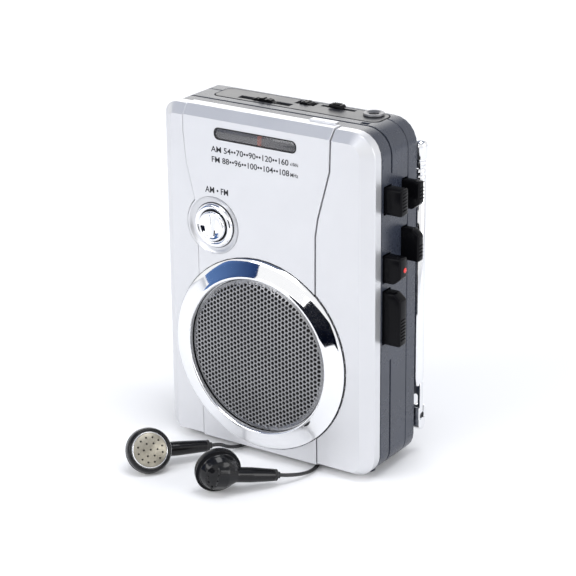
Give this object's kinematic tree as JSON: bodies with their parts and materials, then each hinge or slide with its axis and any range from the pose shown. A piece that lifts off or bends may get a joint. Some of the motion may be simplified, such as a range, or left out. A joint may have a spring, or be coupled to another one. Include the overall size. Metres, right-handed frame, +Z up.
{
  "type": "portable cassette player with radio",
  "caption": "Upright pocket radio and cassette player: silver front with round speaker, side keys, rear cassette door, telescopic aerial, and earphones on their lead.",
  "frame": {"origin": "centre of the player's footprint, on the surface that it stands on, without its earphones", "axes": "+Z up the player's height, -Y out of the speaker's face, +X towards the side with the keys"},
  "size_m": [0.1083, 0.1172, 0.1329],
  "materials": {
    "silver_paint": "metallic silver paint, satin",
    "dark_plastic": "dark blue grey, moulded, semi-gloss",
    "black_plastic": "black, polished",
    "chrome_plate": "bright plated",
    "grille_metal": "perforated sheet, satin",
    "smoked_window": "smoked, clear",
    "sheet_steel": "plated sheet",
    "paper_cone": "pressed paper",
    "circuit_board": "green lacquer",
    "ferrite": "sintered, dull",
    "brass_turned": "turned",
    "black_rubber": "matt",
    "white_plastic": "natural",
    "red_plastic": "orange red",
    "cell_jacket": "printed sleeve",
    "lead_jacket": "soft vinyl, satin",
    "bud_screen": "champagne, perforated"
  },
  "bodies": {
    "player": {"front_frame": "silver_paint", "centre_panel": "silver_paint", "speaker_ring": "chrome_plate", "speaker_grille": "grille_metal", "dial_window": "smoked_window", "band_knob_ring": "chrome_plate", "main_housing": "dark_plastic", "rear_cover": "dark_plastic", "top_plate": "dark_plastic", "phones_jack": "black_plastic", "microphone": "sheet_steel", "radio_board": "circuit_board", "tuning_capacitor": "white_plastic", "ferrite_rod": "ferrite", "speaker_basket": "sheet_steel", "speaker_cone": "paper_cone", "speaker_magnet": "ferrite", "deck_plate": "sheet_steel", "motor": "sheet_steel", "drive_belt": "black_rubber", "battery_cell_rear": "cell_jacket", "battery_cell_front": "cell_jacket", "battery_contact": "sheet_steel", "left_bud_shell": "black_plastic", "left_bud_grille": "bud_screen", "right_bud_shell": "black_plastic", "right_bud_grille": "bud_screen", "left_lead": "lead_jacket", "right_lead": "lead_jacket", "lead_coil": "lead_jacket", "lead_splitter": "black_rubber", "main_lead": "lead_jacket", "plug": "black_plastic"},
    "key_stop_eject": {"key_stop_eject": "black_plastic"},
    "key_fast_forward": {"key_fast_forward": "black_plastic"},
    "key_rewind": {"key_rewind": "black_plastic"},
    "key_record": {"key_record": "black_plastic"},
    "key_play": {"key_play": "black_plastic"},
    "head_carriage": {"head_carriage": "sheet_steel", "record_head": "chrome_plate", "erase_head": "black_plastic"},
    "pinch_roller": {"pinch_roller": "black_rubber"},
    "flywheel": {"flywheel": "sheet_steel"},
    "motor_pulley": {"motor_pulley": "brass_turned"},
    "take_up_spindle": {"take_up_spindle": "white_plastic"},
    "supply_spindle": {"supply_spindle": "white_plastic"},
    "cassette_door": {"cassette_door": "dark_plastic", "door_window": "smoked_window"},
    "battery_door": {"battery_door": "dark_plastic"},
    "tuning_wheel": {"tuning_wheel": "dark_plastic"},
    "dial_pointer": {"dial_pointer": "red_plastic"},
    "volume_wheel": {"volume_wheel": "black_plastic"},
    "function_slider": {"function_slider": "black_plastic"},
    "band_knob": {"band_knob": "chrome_plate"},
    "aerial_base": {"aerial_base": "chrome_plate"},
    "aerial_section_1": {"aerial_section_1": "chrome_plate"},
    "aerial_section_2": {"aerial_section_2": "chrome_plate"},
    "aerial_section_3": {"aerial_section_3": "chrome_plate"},
    "aerial_tip": {"aerial_tip": "chrome_plate"}
  },
  "joints": [
    {"name": "key_stop_eject_press", "type": "slide", "parent": "player", "child": "key_stop_eject", "axis": [-1, 0, 0], "range_m": [0, 0.0035], "stiffness_N_per_m": 250},
    {"name": "key_fast_forward_press", "type": "slide", "parent": "player", "child": "key_fast_forward", "axis": [-1, 0, 0], "range_m": [0, 0.0035], "stiffness_N_per_m": 250},
    {"name": "key_rewind_press", "type": "slide", "parent": "player", "child": "key_rewind", "axis": [-1, 0, 0], "range_m": [0, 0.0035], "stiffness_N_per_m": 250},
    {"name": "key_record_press", "type": "slide", "parent": "player", "child": "key_record", "axis": [-1, 0, 0], "range_m": [0, 0.0035], "stiffness_N_per_m": 250},
    {"name": "key_play_press", "type": "slide", "parent": "player", "child": "key_play", "axis": [-1, 0, 0], "range_m": [0, 0.0035], "stiffness_N_per_m": 250},
    {"name": "head_carriage_slide", "type": "slide", "parent": "player", "child": "head_carriage", "axis": [-1, 0, 0], "range_m": [0, 0.0028]},
    {"name": "pinch_roller_spin", "type": "hinge", "parent": "head_carriage", "child": "pinch_roller", "pos_m": [0.019, 0.0116, 0.0442], "axis": [0, 1, 0], "continuous": true},
    {"name": "flywheel_spin", "type": "hinge", "parent": "player", "child": "flywheel", "pos_m": [0.0096, -0.0014, 0.0442], "axis": [0, 1, 0], "continuous": true},
    {"name": "motor_spin", "type": "hinge", "parent": "player", "child": "motor_pulley", "pos_m": [-0.0015, -0.0014, 0.0968], "axis": [0, 1, 0], "continuous": true},
    {"name": "take_up_spin", "type": "hinge", "parent": "player", "child": "take_up_spindle", "pos_m": [-0.0166, 0.0046, 0.04955], "axis": [0, 1, 0], "continuous": true},
    {"name": "supply_spin", "type": "hinge", "parent": "player", "child": "supply_spindle", "pos_m": [-0.0166, 0.0046, 0.09205], "axis": [0, 1, 0], "continuous": true},
    {"name": "cassette_door_swing", "type": "hinge", "parent": "player", "child": "cassette_door", "pos_m": [-0.0435, 0.0191, 0.0708], "axis": [0, 0, 1], "range_deg": [0, 75]},
    {"name": "battery_door_slide", "type": "slide", "parent": "player", "child": "battery_door", "axis": [0, 1, 0], "range_m": [0, 0.03]},
    {"name": "tuning_wheel_turn", "type": "hinge", "parent": "player", "child": "tuning_wheel", "pos_m": [-0.0171, 0.004, 0.1196], "axis": [0, 1, 0], "range_deg": [-135, 135]},
    {"name": "dial_pointer_slide", "type": "slide", "parent": "player", "child": "dial_pointer", "axis": [1, 0, 0], "range_m": [-0.0151, 0.0151]},
    {"name": "volume_wheel_turn", "type": "hinge", "parent": "player", "child": "volume_wheel", "pos_m": [-0.0023, 0.0092, 0.1278], "axis": [0, 1, 0], "range_deg": [-130, 130]},
    {"name": "function_slider_slide", "type": "slide", "parent": "player", "child": "function_slider", "axis": [1, 0, 0], "range_m": [-0.005, 0.0064]},
    {"name": "band_knob_turn", "type": "hinge", "parent": "player", "child": "band_knob", "pos_m": [-0.0256, -0.0184, 0.0882], "axis": [0, 1, 0], "range_deg": [0, 60]},
    {"name": "aerial_swivel", "type": "hinge", "parent": "player", "child": "aerial_base", "pos_m": [0.041, 0.0168, 0.0126], "axis": [-1, 0, 0], "range_deg": [0, 90]},
    {"name": "aerial_tilt", "type": "hinge", "parent": "aerial_base", "child": "aerial_section_1", "pos_m": [0.041, 0.0168, 0.0173], "axis": [0, 1, 0], "range_deg": [0, 90]},
    {"name": "aerial_extend_1", "type": "slide", "parent": "aerial_section_1", "child": "aerial_section_2", "axis": [0, 0, 1], "range_m": [0, 0.068]},
    {"name": "aerial_extend_2", "type": "slide", "parent": "aerial_section_2", "child": "aerial_section_3", "axis": [0, 0, 1], "range_m": [0, 0.066]},
    {"name": "aerial_extend_3", "type": "slide", "parent": "aerial_section_3", "child": "aerial_tip", "axis": [0, 0, 1], "range_m": [0, 0.064]}
  ],
  "couplings": [
    {"joint": "head_carriage_slide", "follows": "key_play_press", "ratio": 0.8},
    {"joint": "motor_spin", "follows": "flywheel_spin", "ratio": 5},
    {"joint": "dial_pointer_slide", "follows": "tuning_wheel_turn", "m_per_rad": 0.006366}
  ]
}
